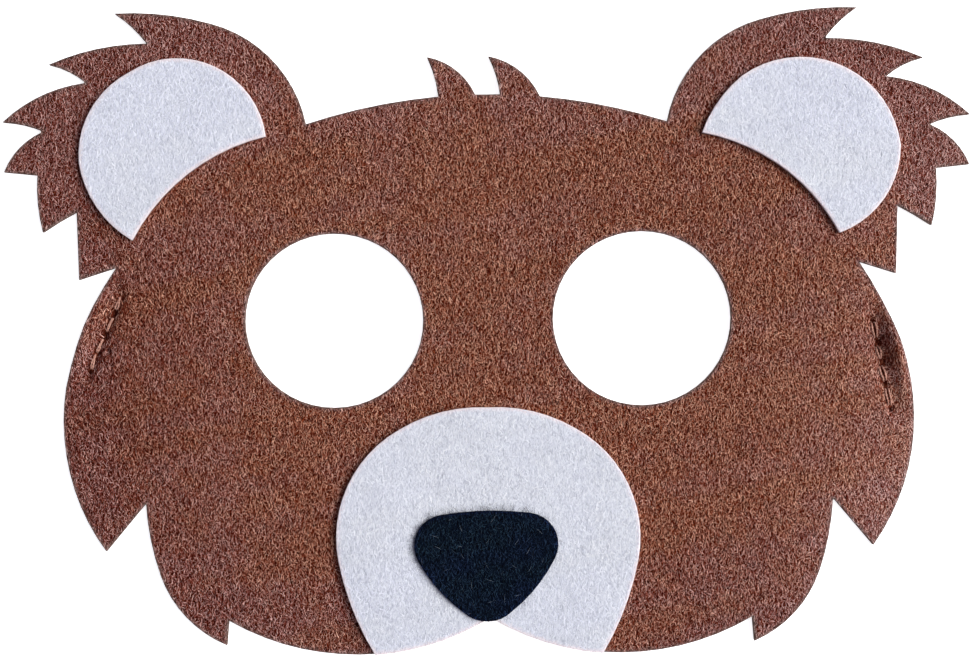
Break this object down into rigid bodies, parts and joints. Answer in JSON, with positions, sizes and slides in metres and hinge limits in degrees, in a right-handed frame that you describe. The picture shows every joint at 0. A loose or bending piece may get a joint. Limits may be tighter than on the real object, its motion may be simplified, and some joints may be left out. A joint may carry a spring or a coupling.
{
  "type": "bear mask",
  "caption": "Flat half-face bear mask of die-cut needle felt, with round eye holes, tufted ears, glued inner-ear, muzzle and nose patches, and a seam for a band near each side edge.",
  "frame": {"origin": "on the surface that the mask lies on, under the middle of its outline", "axes": "+X to the viewer's right across the face, +Y to the top of the head, +Z out of the front of the face"},
  "size_m": [0.2, 0.1331, 0.0047],
  "materials": {
    "brown_felt": "matte needle-punched polyester felt with a short fuzz",
    "white_felt": "matte needle-punched polyester felt with a short fuzz",
    "black_felt": "matte needle-punched polyester felt with a short fuzz"
  },
  "bodies": {
    "root": {"face": "brown_felt", "ear_patch_left": "white_felt", "ear_patch_right": "white_felt", "muzzle": "white_felt", "nose": "black_felt"}
  },
  "joints": []
}
